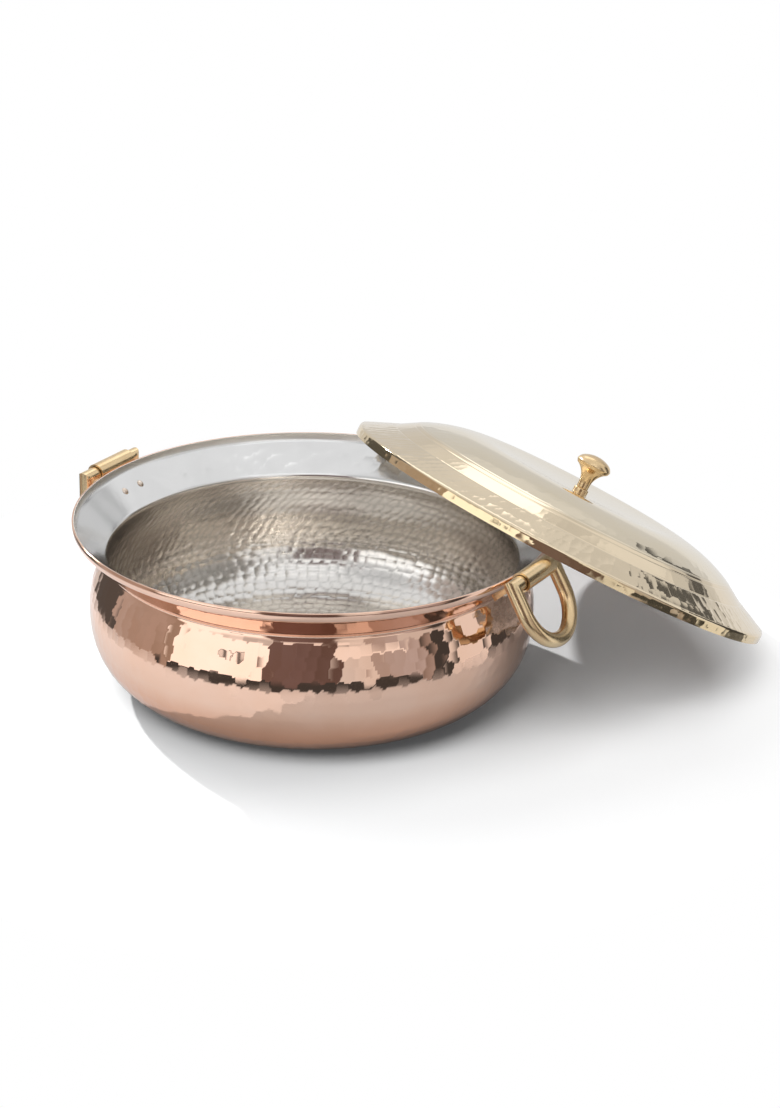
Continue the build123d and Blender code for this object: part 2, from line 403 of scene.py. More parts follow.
def swept(path: np.ndarray, outline: np.ndarray, square: np.ndarray) -> Rows:
    """Carry an outline along a closed flat path, mitred at the path's corners.

    At each path point the outline stands in the plane that halves the corner there, and
    its reach within the path's plane grows by one over the cosine of half the turn.

    Args:
        path: points of the path, each row three numbers.
        outline: the section, its first column within the path's plane, its second
            square to that plane.
        square: the path plane's unit normal.

    Returns:
        The rows, one for each path point.
    """
    back = path - np.roll(path, 1, 0)
    on = np.roll(path, -1, 0) - path
    back /= np.linalg.norm(back, axis=1)[:, None]
    on /= np.linalg.norm(on, axis=1)[:, None]
    ahead = back + on
    ahead /= np.linalg.norm(ahead, axis=1)[:, None]
    out = np.cross(ahead, square)
    reach = 1 / np.maximum(0.3, np.einsum("ij,ij->i", ahead, on))
    flat = outline[None, :, :1] * (out * reach[:, None])[:, None, :]
    return Rows.plain(path[:, None, :] + flat + outline[None, :, 1:] * square)


@dataclass(frozen=True)
class HammerMarks:
    """A field of hammer marks: rows of shallow dishes that meet in low ridges.

    Attributes:
        along: a mark's length along the profile.
        across: its width around the pot.
        depth: how deep the dishes are.
        scatter: how far their middles stray, as a share of a mark.
        tilt: how much their floors tilt.
        slant: how far a mark leans sideways over its own length.
        seed: the start of the random numbers.
        seam: how wide the joints between the marks are, as a share of a mark.
    """

    along: float
    across: float
    depth: float
    scatter: float
    tilt: float
    slant: float
    seed: int
    seam: float = 0.35

    def relief(self, outline: np.ndarray, around: int) -> Relief:
        """Work out the marks and their slopes on an outline turned about the axis.

        A dish's height is the square of the distance from its middle, counted in
        marks, plus a slope of its own and a step of its own. The lowest one wins, so
        the surface has no steps and turns sharply only at the ridges. The slopes are
        differences between two close points.

        Args:
            outline: the outline that is turned.
            around: how many points there are round the axis.

        Returns:
            The relief.
        """
        arc_at, radius = arc_length(outline), np.maximum(outline[:, 0], 1.0)
        random = np.random.default_rng(self.seed)
        middles = (np.arange(int(math.ceil(arc_at.max() / self.along)) + 6) - 1.5) * self.along
        marks = np.interp(middles, arc_at, radius) * 2 * np.pi / self.across
        marks = np.maximum(3, np.rint(marks)).astype(int)
        traits = random.uniform(-1, 1, (len(middles), marks.max(), 5))

        def dishes(arc_at: np.ndarray, turn: np.ndarray) -> tuple[np.ndarray, np.ndarray]:
            """Give the lowest dish and the next one, at every point.

            Args:
                arc_at: each row's distance along the outline.
                turn: each point's place round the axis, from 0 to 1.

            Returns:
                The two heights, in squared marks.
            """
            home = np.floor(arc_at / self.along).astype(int) + 2
            lowest, second = np.full(turn.shape, 9.0), np.full(turn.shape, 9.0)
            for row_step in (-1, 0, 1):
                row = np.clip(home + row_step, 0, len(middles) - 1)
                drop = ((arc_at - middles[row]) / self.along)[:, None]
                place = turn * marks[row][:, None] - 0.5 * (row % 2)[:, None] + self.slant * drop
                for neighbour in (-1, 0, 1):
                    mark = np.floor(place).astype(int) + neighbour
                    own = traits[row[:, None], mark % marks[row][:, None]]
                    sideways = place - mark - 0.5 - self.scatter * own[..., 0]
                    lengthways = drop - self.scatter * own[..., 1]
                    slope = self.tilt * (own[..., 2] * sideways + own[..., 3] * lengthways)
                    dish = sideways**2 + lengthways**2 + slope + self.tilt * 0.25 * own[..., 4]
                    second = np.minimum(second, np.maximum(lowest, dish))
                    lowest = np.minimum(lowest, dish)
            return lowest, second

        turn = np.repeat(np.linspace(0, 1, around, endpoint=False)[None, :], len(outline), 0)
        lowest, second = dishes(arc_at, turn)
        steep = self.depth / RIDGE_RISE
        reach, gap = SLOPE_REACH, 2 * SLOPE_REACH
        along = (dishes(arc_at + reach, turn)[0] - dishes(arc_at - reach, turn)[0]) / gap
        nudge = reach / (2 * np.pi * radius[:, None])
        sideways = (dishes(arc_at, turn + nudge)[0] - dishes(arc_at, turn - nudge)[0]) / gap
        joint = np.clip(1 - (second - lowest) / self.seam, 0, 1)
        return Relief(steep * lowest - 0.5 * self.depth, steep * along, steep * sideways, joint)


def hammered(outline: np.ndarray, around: int, *worked: tuple[HammerMarks, Any]) -> Rows:
    """Turn an outline about the axis with fields of hammer marks on it.

    Args:
        outline: radius and height, one row each.
        around: how many points there are round the axis.
        worked: each field with its share for each row or point, below zero where the
            marks are struck from the outline's left-hand side.

    Returns:
        The rows.
    """
    fields = [marks.relief(outline, around).times(share) for marks, share in worked]
    return turned(outline, around, reduce(Relief.plus, fields))


# node wiring


class Wiring:
    """Adds nodes to one node tree and links their sockets."""

    def __init__(self, tree: bpy.types.NodeTree) -> None:
        """Keep the tree that the nodes go into."""
        self.tree = tree

    @classmethod
    def of(cls, owner: Any) -> "Wiring":
        """Empty the node tree of a material or a world, ready for new nodes.

        Args:
            owner: the material or world.

        Returns:
            The wiring of its tree.
        """
        owner.use_nodes = True
        owner.node_tree.nodes.clear()
        return cls(owner.node_tree)

    def add(self, kind: str, inputs: dict[Any, Any] | None = None, **settings: Any) -> Any:
        """Add one node.

        Args:
            kind: the node's type.
            inputs: values or sockets for its inputs, by name or number.
            settings: values for the node's own properties.

        Returns:
            The new node.
        """
        node = self.tree.nodes.new(kind)
        for key, value in settings.items():
            setattr(node, key, value)
        for key, value in (inputs or {}).items():
            if isinstance(value, bpy.types.NodeSocket):
                self.link(value, node.inputs[key])
            else:
                node.inputs[key].default_value = value
        return node

    def link(self, start: bpy.types.NodeSocket, end: bpy.types.NodeSocket) -> None:
        """Join an output to an input."""
        self.tree.links.new(start, end)

    def sum(self, operation: str, *values: Any) -> bpy.types.NodeSocket:
        """Do one piece of arithmetic on numbers or sockets and return its socket."""
        inputs = dict(enumerate(values))
        return self.add("ShaderNodeMath", inputs, operation=operation).outputs[0]

    def measure(self, operation: str, *vectors: Any) -> bpy.types.NodeSocket:
        """Work one number out of vectors, such as a length, and return its socket."""
        inputs = dict(enumerate(vectors))
        return self.add("ShaderNodeVectorMath", inputs, operation=operation).outputs["Value"]

    def blend(self, share: Any, first: Any, second: Any) -> bpy.types.NodeSocket:
        """Mix two colours by a share and return the socket."""
        inputs = {0: share, 6: first, 7: second}
        return self.add("ShaderNodeMix", inputs, data_type="RGBA").outputs[2]

    def span(self, value: Any, low: float, high: float, to_low: float, to_high: float) -> Any:
        """Map a value from one range to another, held at the ends."""
        inputs = {"Value": value, "From Min": low, "From Max": high,
                  "To Min": to_low, "To Max": to_high}
        return self.add("ShaderNodeMapRange", inputs).outputs[0]

    def ramp(self, value: Any, stops: list[tuple[float, Any]]) -> bpy.types.NodeSocket:
        """Turn a value into a colour by straight steps between stops.

        Args:
            value: the socket that is looked up.
            stops: positions from 0 to 1, each with a grey level or a colour.

        Returns:
            The colour socket.
        """
        node = self.add("ShaderNodeValToRGB", {0: value})
        elements = node.color_ramp.elements
        while len(elements) < len(stops):
            elements.new(0.5)
        for element, (position, level) in zip(elements, stops):
            element.position = position
            element.color = level if isinstance(level, tuple) else (level, level, level, 1)
        return node.outputs[0]

    def noise(self, vector: Any, scale: Any, detail: float, **settings: Any) -> Any:
        """Add a noise texture on a vector and return its grey socket.

        Args:
            vector: the socket that it is laid over.
            scale: its scale, a number or a socket.
            detail: its detail.
            settings: further inputs, by name.

        Returns:
            The socket.
        """
        inputs = {"Vector": vector, "Scale": scale, "Detail": detail, **settings}
        return self.add("ShaderNodeTexNoise", inputs).outputs["Fac"]


def new_group(name: str, inputs: dict[str, tuple[str, Any]], outputs: dict[str, str]) -> Any:
    """Start a shader node group with named sockets.

    Args:
        name: the group's name.
        inputs: socket type and default value by input name.
        outputs: socket type by output name.

    Returns:
        The wiring of the group, its input node and its output node.
    """
    tree = bpy.data.node_groups.new(name, "ShaderNodeTree")
    for title, (kind, value) in inputs.items():
        made = tree.interface.new_socket(title, in_out="INPUT", socket_type=kind)
        if kind == "NodeSocketFloat":
            made.default_value = value
    for title, kind in outputs.items():
        tree.interface.new_socket(title, in_out="OUTPUT", socket_type=kind)
    wiring = Wiring(tree)
    return wiring, wiring.add("NodeGroupInput"), wiring.add("NodeGroupOutput")


def turned_lines_group() -> bpy.types.NodeTree:
    """Build the group of fine lines that a lathe or a polishing wheel leaves.

    The lines are noise on radius and height, both counted in line widths, which changes
    only slowly round the axis, so each line runs round and fades here and there.

    Returns:
        The node group: Vector, Line width and Run (how fast they change round) in,
        Height out.
    """
    wiring, given, result = new_group(
        "turned_lines",
        {"Vector": ("NodeSocketVector", None), "Line width": ("NodeSocketFloat", 0.0006),
         "Run": ("NodeSocketFloat", 20.0)},
        {"Height": "NodeSocketFloat"},
    )
    parts = wiring.add("ShaderNodeSeparateXYZ", {0: given.outputs["Vector"]})
    x, y, z = parts.outputs
    radius = wiring.sum("SQRT", wiring.sum("ADD", wiring.sum("MULTIPLY", x, x),
                                           wiring.sum("MULTIPLY", y, y)))
    across, up = (wiring.sum("DIVIDE", at, given.outputs["Line width"]) for at in (radius, z))
    run_x, run_y = (wiring.sum("MULTIPLY", side, given.outputs["Run"]) for side in (x, y))
    place = wiring.add("ShaderNodeCombineXYZ", {0: across, 1: up, 2: run_x}).outputs[0]
    lines = wiring.add("ShaderNodeTexNoise", {"Vector": place, "W": run_y, "Scale": 1.0,
                                              "Detail": 2.0}, noise_dimensions="4D")
    wiring.link(lines.outputs["Fac"], result.inputs["Height"])
    return wiring.tree


def handling_group() -> bpy.types.NodeTree:
    """Build the group of stains and rubbing that handling leaves on polished metal.

    Returns:
        The node group: Vector and Size in, Stain (wide, cloudy) and Fine (narrow) out.
    """
    wiring, given, result = new_group(
        "handling",
        {"Vector": ("NodeSocketVector", None), "Size": ("NodeSocketFloat", 30.0)},
        {"Stain": "NodeSocketFloat", "Fine": "NodeSocketFloat"},
    )
    place, wide = given.outputs["Vector"], given.outputs["Size"]
    cloud = wiring.noise(place, wide, 4.0, Distortion=0.4)
    narrow = wiring.noise(place, wiring.sum("MULTIPLY", wide, 14.0), 3.0)
    wiring.link(wiring.span(cloud, 0.35, 0.65, 0, 1), result.inputs["Stain"])
    wiring.link(narrow, result.inputs["Fine"])
    return wiring.tree


WHITE: Colour = (1, 1, 1, 1)
# painted shade: the dark colour laid along the joints between hammer marks
JOINT_SHADE_COLOUR: Colour = (0.10, 0.09, 0.08, 1)
STAIN_SHADE = 0.94


@dataclass(frozen=True)
class Zone:
    """A part of a metal with a colour and a polish of its own; on the copper's base the colour is
    painted bounce light.

    Attributes:
        way: which way the place is counted.
        start: where the blend starts, in metres.
        full: where it is complete.
        colour: the colour there.
        rough: the roughness there.
    """

    way: Way
    start: float
    full: float
    colour: Colour
    rough: float


@dataclass(frozen=True)
class MetalFinish:
    """A polished metal: its colour, how it varies, and what tools left on it.

    Attributes:
        name: the material's name.
        clean: the colour where the metal is bright.
        stained: the colour where it is dulled.
        smooth: roughness at its smoothest.
        dull: roughness where it is dulled.
        line_width: width of the turned lines in metres.
        line_depth: their height in metres, 0 for none.
        grain_depth: height of the fine all-over grain in metres.
        stain_size: scale of the cloudy stains.
        zones: parts that look different.
        joint_shade: how much painted shade darkens the joints between hammer marks.
    """

    name: str
    clean: Colour
    stained: Colour
    smooth: float
    dull: float
    line_width: float = 0.0006
    line_depth: float = 0.0
    grain_depth: float = 0.000004
    stain_size: float = 30.0
    zones: tuple[Zone, ...] = ()
    joint_shade: float = 0.0

    def material(self, groups: dict[str, Any], axis: Matrix | None = None) -> bpy.types.Material:
        """Build the material.

        Args:
            groups: the shared node groups by name.
            axis: the frame in metres whose Z axis the lines run round, if not the pot's.

        Returns:
            The finished material.
        """
        made = bpy.data.materials.new(self.name)
        wiring = Wiring.of(made)
        place = wiring.add("ShaderNodeTexCoord").outputs["Object"]
        if axis is not None:
            place = wiring.add("ShaderNodeMapping", {
                "Vector": place, "Location": axis.translation, "Rotation": axis.to_euler(),
            }, vector_type="TEXTURE").outputs[0]
        handled = wiring.add("ShaderNodeGroup", {"Vector": place, "Size": self.stain_size},
                             node_tree=groups["handling"])
        colour = wiring.blend(handled.outputs["Stain"], self.clean, self.stained)
        rough = wiring.span(handled.outputs["Fine"], 0.3, 0.75, self.smooth, self.dull)
        parts = wiring.add("ShaderNodeSeparateXYZ", {0: place})
        flat = wiring.add("ShaderNodeCombineXYZ", {0: parts.outputs[0], 1: parts.outputs[1]})
        outward = wiring.measure("LENGTH", flat.outputs[0])
        for zone in self.zones:
            at = outward if zone.way is Way.OUT else parts.outputs[2]
            share = wiring.span(at, zone.start, zone.full, 0, 1)
            worn = tuple(STAIN_SHADE * level for level in zone.colour[:3]) + (1,)
            tint = wiring.blend(handled.outputs["Stain"], zone.colour, worn)
            colour = wiring.blend(share, colour, tint)
            rough = wiring.add("ShaderNodeMix", {0: share, 2: rough, 3: zone.rough}).outputs[0]
        # painted shade along the joints where the hammer marks meet
        if self.joint_shade:
            joint = wiring.add("ShaderNodeAttribute", attribute_name="joint").outputs["Fac"]
            joint = wiring.sum("MULTIPLY", joint, self.joint_shade)
            colour = wiring.blend(joint, colour, JOINT_SHADE_COLOUR)
        bump = wiring.add("ShaderNodeBump", {"Height": handled.outputs["Fine"],
                                             "Distance": self.grain_depth})
        if self.line_depth:
            lines = wiring.add("ShaderNodeGroup",
                               {"Vector": place, "Line width": self.line_width},
                               node_tree=groups["turned_lines"])
            bump = wiring.add("ShaderNodeBump", {
                "Height": lines.outputs["Height"], "Distance": self.line_depth,
                "Normal": bump.outputs[0]})
        shader = wiring.add("ShaderNodeBsdfPrincipled", {
            "Base Color": colour, "Metallic": 1.0, "Roughness": rough,
            "Normal": bump.outputs[0]})
        wiring.add("ShaderNodeOutputMaterial", {"Surface": shader.outputs[0]})
        return made


# pieces


def dress(piece: bpy.types.Object, material: bpy.types.Material) -> None:
    """Give a piece one material in place of any it has."""
    piece.data.materials.clear()
    piece.data.materials.append(material)


def settle(piece: bpy.types.Object, finish: bpy.types.Material, body: Body, node: str) -> None:
    """Give a new piece its material, make it stand for a CAD node, and report it.

    Args:
        piece: the new object.
        finish: its material.
        body: the body that it rides on.
        node: the CAD node that it takes the place of.
    """
    dress(piece, finish)
    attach(piece, body.value)
    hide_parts(node)
    LOG.info("%s stands for %s on %s: %d faces", piece.name, node, body.value,
             len(piece.data.polygons))


def settle_copy(node: str, finish: bpy.types.Material, body: Body) -> None:
    """Settle a copy of a CAD node, its triangles joined and its round faces smooth.

    Args:
        node: the CAD node.
        finish: the copy's material.
        body: the body that it rides on.
    """
    source = bpy.data.objects[node]
    mesh = source.data.copy()
    mesh.transform(source.matrix_world)
    work = bmesh.new()
    work.from_mesh(mesh)
    bmesh.ops.remove_doubles(work, verts=work.verts, dist=1e-6)
    work.to_mesh(mesh)
    work.free()
    mesh.shade_smooth()
    mesh.set_sharp_from_angle(angle=math.radians(32))
    settle(placed(f"{node}_piece", mesh), finish, body, node)


# the pot


@dataclass
class Vessel:
    """The raised copper vessel and the tin inside it.

    The places where marks set in are pairs: where they start, and where they are full.

    Attributes:
        neck: radius and height of the narrowest place.
        belly: radius and height of the widest one.
        lower_curve: radius of the profile under the belly.
        heel_curve: radius of the profile at the base.
        bevel: width of the lip's bevelled outer edge.
        corner: how far the profile's corners are rounded.
        around: points round the axis on the copper.
        tin_around: points round the axis on the tin.
        floor_radius: how far the tin's floor is flat.
        tin_steps: how far apart the tin's rows are at a height; -1 stands for the floor.
        outside_low: heights of the copper's marks above the base.
        outside_high: the same under the neck.
        wall_low: heights of the tin's marks above the bend.
        wall_high: the same under the neck.
        floor_edge: radii of the floor's marks, inwards from the bend.
        floor_middle: the same outwards from the middle, where they would crowd.
        bend_high: heights over which the bend's marks give way to the wall's.
        flare_low: heights of the flare's marks above the neck.
        flare_high: the same under the lip.
        worked_side: direction, in degrees from X, in which the flare is hammered.
    """

    rim_radius: float = 150.0
    rim_height: float = 110.0
    lip_height: float = 4.5
    neck: Pair = (129.4, 86.0)
    belly: Pair = (140.0, 52.5)
    lower_curve: float = 90.0
    heel_curve: float = 46.0
    bevel: float = 0.3
    corner: float = 1.0
    copper: float = 1.2
    tin: float = 0.3
    around: int = 700
    tin_around: int = 540
    floor_radius: float = 88.0
    tin_steps: tuple[Pair, ...] = (
        (-1, 3.0), (0, 1.15), (48, 1.15), (60, 1.3), (84, 1.3), (86, 1.0), (88, 1.0), (92, 2.2))
    outside: HammerMarks = HammerMarks(7.0, 7.6, 0.13, 0.24, 0.15, 0.0, 11)
    wall: HammerMarks = HammerMarks(6.8, 6.0, 0.16, 0.18, 0.16, 0.9, 5, 0.45)
    bend: HammerMarks = HammerMarks(6.6, 7.4, 0.22, 0.16, 0.25, 0.0, 6, 0.28)
    floor: HammerMarks = HammerMarks(6.6, 7.4, 0.20, 0.10, 0.15, 0.0, 7, 0.28)
    flare: HammerMarks = HammerMarks(7.5, 9.0, 0.20, 0.25, 0.5, 0.3, 8, 0.001)
    outside_low: Pair = (1.0, 7.0)
    outside_high: Pair = (85.0, 81.0)
    wall_low: Pair = (32.0, 40.0)
    wall_high: Pair = (85.5, 82.5)
    floor_edge: Pair = (92.0, 84.0)
    floor_middle: Pair = (0.0, 12.0)
    bend_high: Pair = (48.0, 38.0)
    flare_low: Pair = (88.0, 92.0)
    flare_high: Pair = (103.0, 99.0)
    worked_side: float = 125.0

    def outline(self) -> np.ndarray:
        """Give the outer outline from the middle of the base to the top of the lip.

        The heel is an arc that touches the ground and the lower belly arc, the upper
        belly an arc that stands upright at the belly and ends at the neck, and the
        flare and lip are straight. All corners are rounded.

        Returns:
            The outline, one row each.
        """
        belly_centre = self.belly[0] - self.lower_curve
        gap = self.lower_curve - self.heel_curve
        base = belly_centre + math.sqrt(gap**2 - (self.belly[1] - self.heel_curve) ** 2)
        meet = math.degrees(math.asin((self.heel_curve - self.belly[1]) / gap))
        sharp = joined(
            [(0, 0), (base, 0)],
            arc((base, self.heel_curve), self.heel_curve, -90, meet),
            arc((belly_centre, self.belly[1]), self.lower_curve, meet, 0),
            tangent_arc(self.belly, self.neck, 90),
            [(self.rim_radius, self.rim_height - self.lip_height)],
            [(self.rim_radius, self.rim_height)],
        )
        return softened(sharp, self.corner)

    def hidden_face(self, inset: float) -> np.ndarray:
        """Give the face between copper and tin, from the lip's top down to the middle.

        Nobody sees it, so its points stand 12 mm apart, but 1.8 at the neck and the lip.

        Args:
            inset: how far it lies inside the outer outline.

        Returns:
            The outline, one row each.
        """
        outer = self.outline()
        face = outer - inset * normals(outer)
        face = face[face[:, 1] <= self.rim_height - 1.5]
        near_neck = np.abs(face[:, 1] - self.neck[1]) < 4
        near_lip = face[:, 1] > self.rim_height - 10
        face = spaced(face, np.where(near_neck | near_lip, 1.8, 12.0))[::-1]
        return np.concatenate([[(self.rim_radius - self.copper, self.rim_height)], face])

    def copper_shell(self) -> bpy.types.Object:
        """Make the copper: the hammered outside, the lip's top and the hidden inside.

        Its rows stand 1.3 mm apart, but 2.4 on the flare and 30 under the flat base.

        Returns:
            The new object.
        """
        outer = self.outline()
        above_neck = outer[:, 1] > self.neck[1] + 2
        steps = np.where(outer[:, 0] < self.floor_edge[0], 30.0, np.where(above_neck, 2.4, 1.3))
        outer = spaced(outer, steps)
        outer = outer[outer[:, 1] < self.rim_height - self.bevel]
        edge = np.array([(self.rim_radius, self.rim_height - self.bevel),
                         (self.rim_radius - self.bevel, self.rim_height)])
        high = outer[:, 1]
        worked = fade(high, *self.outside_low) * fade(high, *self.outside_high)
        rows = hammered(outer, self.around, (self.outside, worked)).then(
            turned(edge, self.around), turned(self.hidden_face(inset=0.8), self.around))
        return skin("copper_shell", rows, looped=False)

    def tin_coat(self) -> bpy.types.Object:
        """Make the tin: its worked face inside the pot, and its hidden back.

        The flare's marks are heavy on its worked side alone, by the cosine of the angle
        to it.

        Returns:
            The new object.
        """
        outer = self.outline()
        face = outer - (self.copper + self.tin) * normals(outer)
        face = face[face[:, 1] <= self.rim_height - 0.2]
        place = np.where(face[:, 0] < self.floor_radius, -1.0, face[:, 1])
        face = spaced(face, np.interp(place, *zip(*self.tin_steps)))
        high, out = face[:, 1], face[:, 0]
        on_wall = fade(high, *self.wall_low) * fade(high, *self.wall_high)
        at_floor = fade(out, *self.floor_edge)
        on_floor = at_floor * fade(out, *self.floor_middle)
        on_bend = np.clip(fade(high, *self.bend_high) - at_floor, 0, 1)
        on_flare = fade(high, *self.flare_low) * fade(high, *self.flare_high)
        turn = np.linspace(0, 2 * np.pi, self.tin_around, endpoint=False)
        heavier = np.clip(1.6 * np.cos(turn - math.radians(self.worked_side)) - 0.6, 0, 1)
        rows = hammered(
            face, self.tin_around, (self.wall, -on_wall), (self.bend, -on_bend),
            (self.flare, -on_flare[:, None] * heavier), (self.floor, -on_floor),
        ).then(turned(self.hidden_face(inset=0.9), self.tin_around))
        return skin("tin_coat", rows, looped=False)

    def build(self, copper: bpy.types.Material, tin: bpy.types.Material) -> None:
        """Make and dress the copper and the tin.

        Args:
            copper: the copper's material.
            tin: the tin's.
        """
        shell = self.copper_shell()
        shell.visible_diffuse = False  # its bounce would turn the table's shadow brown
        settle(shell, copper, Body.POT, "pot_body")
        settle(self.tin_coat(), tin, Body.POT, "tin_lining")


RING_SWINGS = {Side.LEFT: 0.0, Side.RIGHT: 30.4}  # degrees outwards, as photographed


@dataclass
class RingHandle:
    """One drop handle: a riveted sleeve and the D ring that swings in it.

    Attributes:
        side: which handle it is.
        swing: how far the ring is swung outwards, in degrees.
        hinge_radius: how far the hinge lies from the pot's axis.
        slide: how far the ring has slid towards the camera's side in its sleeve.
        half_width: half the distance between the middles of its legs.
        leg: length of the straight legs.
    """

    side: Side
    swing: float
    hinge_radius: float = 156.4
    hinge_height: float = 108.8
    slide: float = 2.2
    bar_radius: float = 4.65
    half_width: float = 24.5
    leg: float = 17.0

    def ring(self) -> bpy.types.Object:
        """Make the ring: a round bar along a D, with mitred corners at the bar's ends.

        The path is the straight bar, two legs and a half circle, and the section is a
        circle.

        Returns:
            The new object.
        """
        sign, half, leg = self.side.value, self.half_width, self.leg
        tip = math.radians(self.swing)
        across = np.array([0.0, 1.0, 0.0])
        down = np.array([sign * math.sin(tip), 0.0, -math.cos(tip)])
        origin = np.array([sign * self.hinge_radius, -self.slide, self.hinge_height])
        bow = np.radians(np.linspace(0, 180, 61))[1:-1]
        flat = np.concatenate([
            np.stack([np.linspace(-half, half, 26), np.zeros(26)], 1),
            np.stack([np.full(8, half), np.linspace(0, leg, 9)[1:]], 1),
            np.stack([half * np.cos(bow), leg + half * np.sin(bow)], 1),
            np.stack([np.full(8, -half), np.linspace(leg, 0, 9)[:-1]], 1),
        ])
        path = origin + flat[:, :1] * across + flat[:, 1:] * down
        angle = np.linspace(0, 2 * np.pi, 40, endpoint=False)
        section = self.bar_radius * np.stack([np.cos(angle), np.sin(angle)], 1)
        rows = swept(path, section, np.cross(across, down))
        return skin(f"{self.side.name.lower()}_ring_bar", rows, looped=True, crease=50)

    def build(self, cast: bpy.types.Material, rivet: bpy.types.Material) -> None:
        """Make and dress the ring, and dress the CAD's bracket and rivets.

        Args:
            cast: the cast brass.
            rivet: the rivets' copper.
        """
        side = self.side.name.lower()
        body = Body[f"{self.side.name}_RING"]
        settle(self.ring(), cast, body, f"{side}_ring")
        settle_copy(f"{side}_bracket", cast, Body.POT)
        settle_copy(f"{side}_rivets", rivet, Body.POT)


@dataclass
class Lid:
    """The spun brass lid that leans on the pot, with its knob.

    Pairs are a radius and a height over the lower rim, or over the seat for the knob's,
    but those of the marks are where they start and where they are full.

    Attributes:
        lean: its tilt in degrees.
        heading: the direction in which it slopes down, in degrees from X.
        centre: where the middle of its lower rim stands, X and Y.
        around: points round its axis.
        seat: edge of the knob's seat.
        crown: the highest place, round the dished middle.
        step_top: where the crown ends.
        step_foot: where the brim starts.
        corner: how far the profile's corners are rounded.
        grooves: radii of the turned grooves.
        brim_share: how heavy the brim's marks are at a radius.
        brim_edge: heights of the brim's marks over the skirt.
        skirt_top: heights of the skirt's marks under the brim.
        skirt_hem: the same over the skirt's edge.
        crown_in: radii of the crown's marks.
        crown_out: the same beside the first groove.
        collar: height of the collar under the knob.
    """

    radius: float = 147.6
    skirt: float = 6.2
    lean: float = 29.4
    heading: float = 58.3
    centre: Pair = (100.0, 140.2)
    sheet: float = 1.0
    around: int = 656
    seat: Pair = (7.0, 32.9)
    crown: Pair = (66.0, 34.8)
    step_top: Pair = (113.0, 23.9)
    step_foot: Pair = (125.5, 16.2)
    corner: float = 0.55
    grooves: tuple[float, ...] = (112.6, 116.0, 126.2)
    groove_depth: float = 0.2
    groove_width: float = 0.4
    brim_marks: HammerMarks = HammerMarks(12.0, 5.2, 0.11, 0.22, 0.6, 0.45, 21)
    skirt_marks: HammerMarks = HammerMarks(5.0, 6.0, 0.13, 0.3, 0.5, 0.0, 22)
    crown_marks: HammerMarks = HammerMarks(7.0, 7.5, 0.07, 0.25, 0.4, 0.3, 23)
    brim_share: tuple[Pair, ...] = ((117, 0), (119, 0.35), (126, 0.35), (128, 1))
    brim_edge: Pair = (5.5, 7.0)
    skirt_top: Pair = (5.5, 4.0)
    skirt_hem: Pair = (0.6, 1.8)
    crown_in: Pair = (97.0, 103.0)
    crown_out: Pair = (112.0, 110.5)
    knob_top: float = 24.6
    knob_shoulder: Pair = (8.5, 22.6)
    knob_rim: Pair = (11.9, 18.3)
    knob_flare: Pair = (10.9, 16.3)
    knob_neck: Pair = (4.0, 5.0)
    collar: float = 1.8

    def frame(self) -> Matrix:
        """Give the lid's own frame: Z out through the knob, X down the slope.

        Returns:
            The frame, in millimetres.
        """
        lean, heading = math.radians(self.lean), math.radians(self.heading)
        out = Vector((math.sin(lean) * math.cos(heading), math.sin(lean) * math.sin(heading),
                      math.cos(lean)))
        across = Vector((-math.sin(heading), math.cos(heading), 0))
        down = across.cross(out)
        matrix = Matrix((down, out.cross(down), out)).transposed().to_4x4()
        matrix.translation = (*self.centre, self.radius * math.sin(lean))
        return matrix

    def axis(self) -> Matrix:
        """Give the lid's frame in metres, for patterns that run round its axis."""
        matrix = self.frame()
        matrix.translation *= MM
        return matrix

    def outline(self) -> np.ndarray:
        """Give the outer outline from the middle of the crown to the skirt's edge.

        The crown is two arcs that are level at the seat and at the crown's top, and the
        rest is straight. All corners are rounded, and each groove is cut as a bell.

        Returns:
            The outline, one row each.
        """
        sharp = joined(
            [(0, self.seat[1])], tangent_arc(self.seat, self.crown, 0),
            tangent_arc(self.crown, self.step_top, 0),
            [self.step_foot, (self.radius, self.skirt), (self.radius, 0)],
        )
        outline = softened(sharp, self.corner)
        for groove in self.grooves:
            off = (outline[:, 0] - groove) / self.groove_width
            outline[:, 1] -= self.groove_depth * np.exp(-(off**2))
        return outline

    def shell(self) -> bpy.types.Object:
        """Make the brass: crown, step, hammered brim, skirt and the plain inside.

        Its rows stand 1.1 mm apart, but 0.4 at the grooves, 4 on the smooth crown and 5
        inside.

        Returns:
            The new object.
        """
        outer = self.outline()
        inner = outer + self.sheet * normals(outer)
        away = np.min([np.abs(outer[:, 0] - groove) for groove in self.grooves], axis=0)
        plain = np.where(outer[:, 0] < self.crown_in[0], 4.0, 1.1)
        outer = spaced(outer, np.where(away < 1.5, 0.4, plain))
        inner = inner[(inner[:, 0] < self.radius) & (inner[:, 1] > 0)]
        inner = spaced(inner, np.full(len(inner), 5.0))[::-1]
        edge = np.array([(self.radius - self.sheet, 0.0)])
        high, out = outer[:, 1], outer[:, 0]
        on_brim = np.interp(out, *zip(*self.brim_share)) * fade(high, *self.brim_edge)
        on_skirt = fade(high, *self.skirt_top) * fade(high, *self.skirt_hem)
        on_crown = fade(out, *self.crown_in) * fade(out, *self.crown_out)
        rows = hammered(
            outer, self.around, (self.brim_marks, -on_brim), (self.skirt_marks, -on_skirt),
            (self.crown_marks, -on_crown),
        ).then(turned(edge, self.around), turned(inner, self.around))
        return skin("lid_dome", rows.carried(self.frame()), looped=False)

